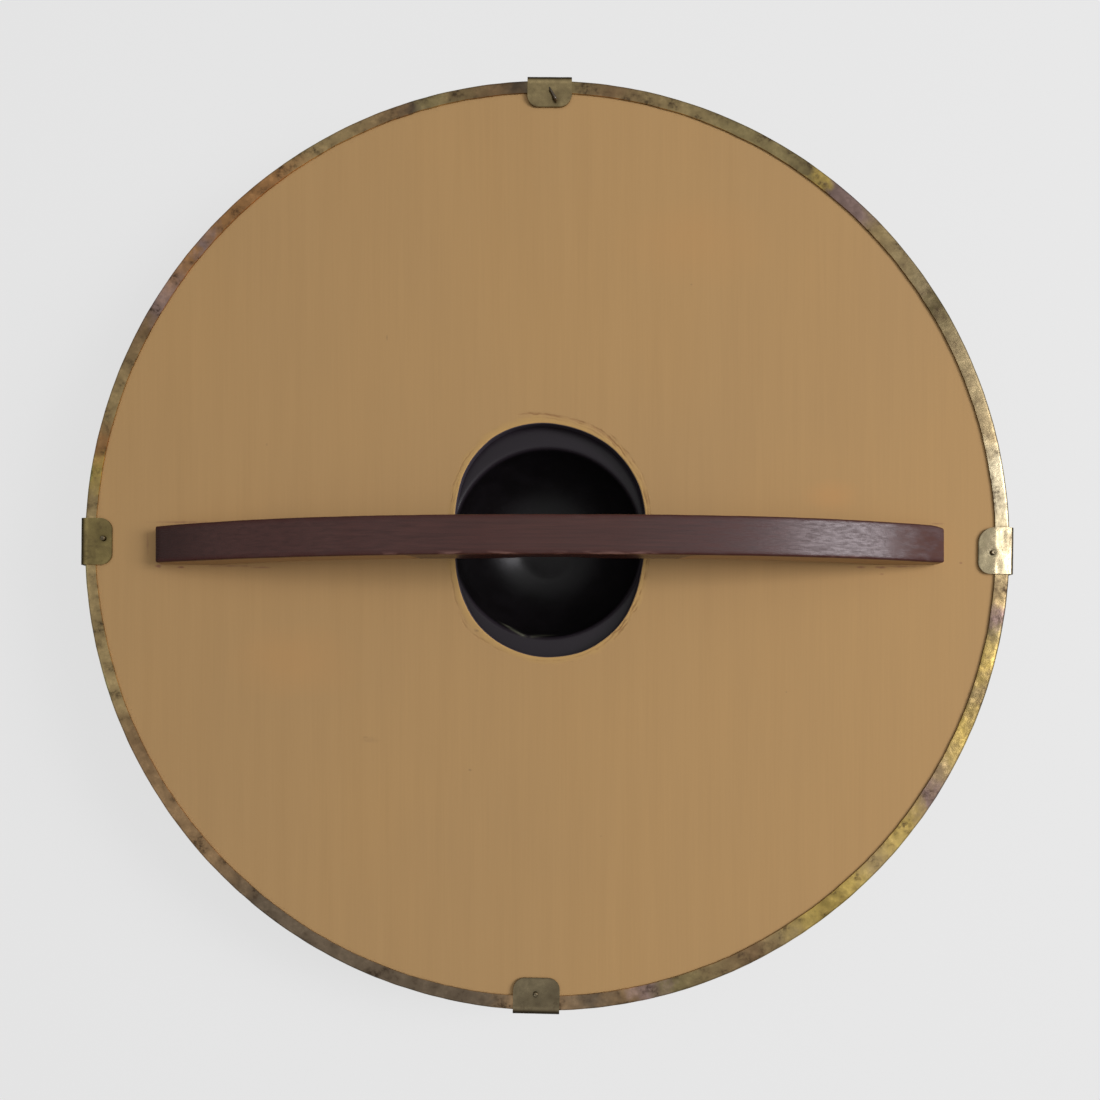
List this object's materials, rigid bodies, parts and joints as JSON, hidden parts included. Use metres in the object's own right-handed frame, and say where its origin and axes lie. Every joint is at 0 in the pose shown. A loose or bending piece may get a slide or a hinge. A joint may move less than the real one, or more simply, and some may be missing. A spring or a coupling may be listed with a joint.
{
  "type": "round wooden shield",
  "caption": "Flat round wooden shield with an iron boss over its hand hole, a bowed wooden grip across the back and a clipped brass edge band.",
  "frame": {"origin": "on the surface it lies on, under the middle of the board", "axes": "+Z along the shield's axis, up out of its back; X along the grip; +Y towards the side called the top"},
  "size_m": [0.7638, 0.7678, 0.1308],
  "materials": {
    "board_paint": "matt ochre paint, brushed on, over wood",
    "grip_paint": "satin dark brown paint over wood, worn along the edges",
    "boss_iron": "glossy black lacquer on sheet iron",
    "band_brass": "hammered, wrinkled and tarnished",
    "clip_brass": "hand-cut sheet, lightly tarnished",
    "fastener_metal": "hammered heads, dull",
    "nail_iron": "blackened domed heads"
  },
  "bodies": {
    "root": {"board": "board_paint", "rim_band": "band_brass", "boss": "boss_iron", "grip": "grip_paint", "boss_nail_1": "nail_iron", "boss_nail_2": "nail_iron", "boss_nail_3": "nail_iron", "boss_nail_4": "nail_iron", "clip_right": "clip_brass", "rivet_right": "fastener_metal", "clip_top": "clip_brass", "nail_top": "fastener_metal", "clip_left": "clip_brass", "rivet_left": "fastener_metal", "clip_bottom": "clip_brass", "rivet_bottom": "fastener_metal"}
  },
  "joints": []
}
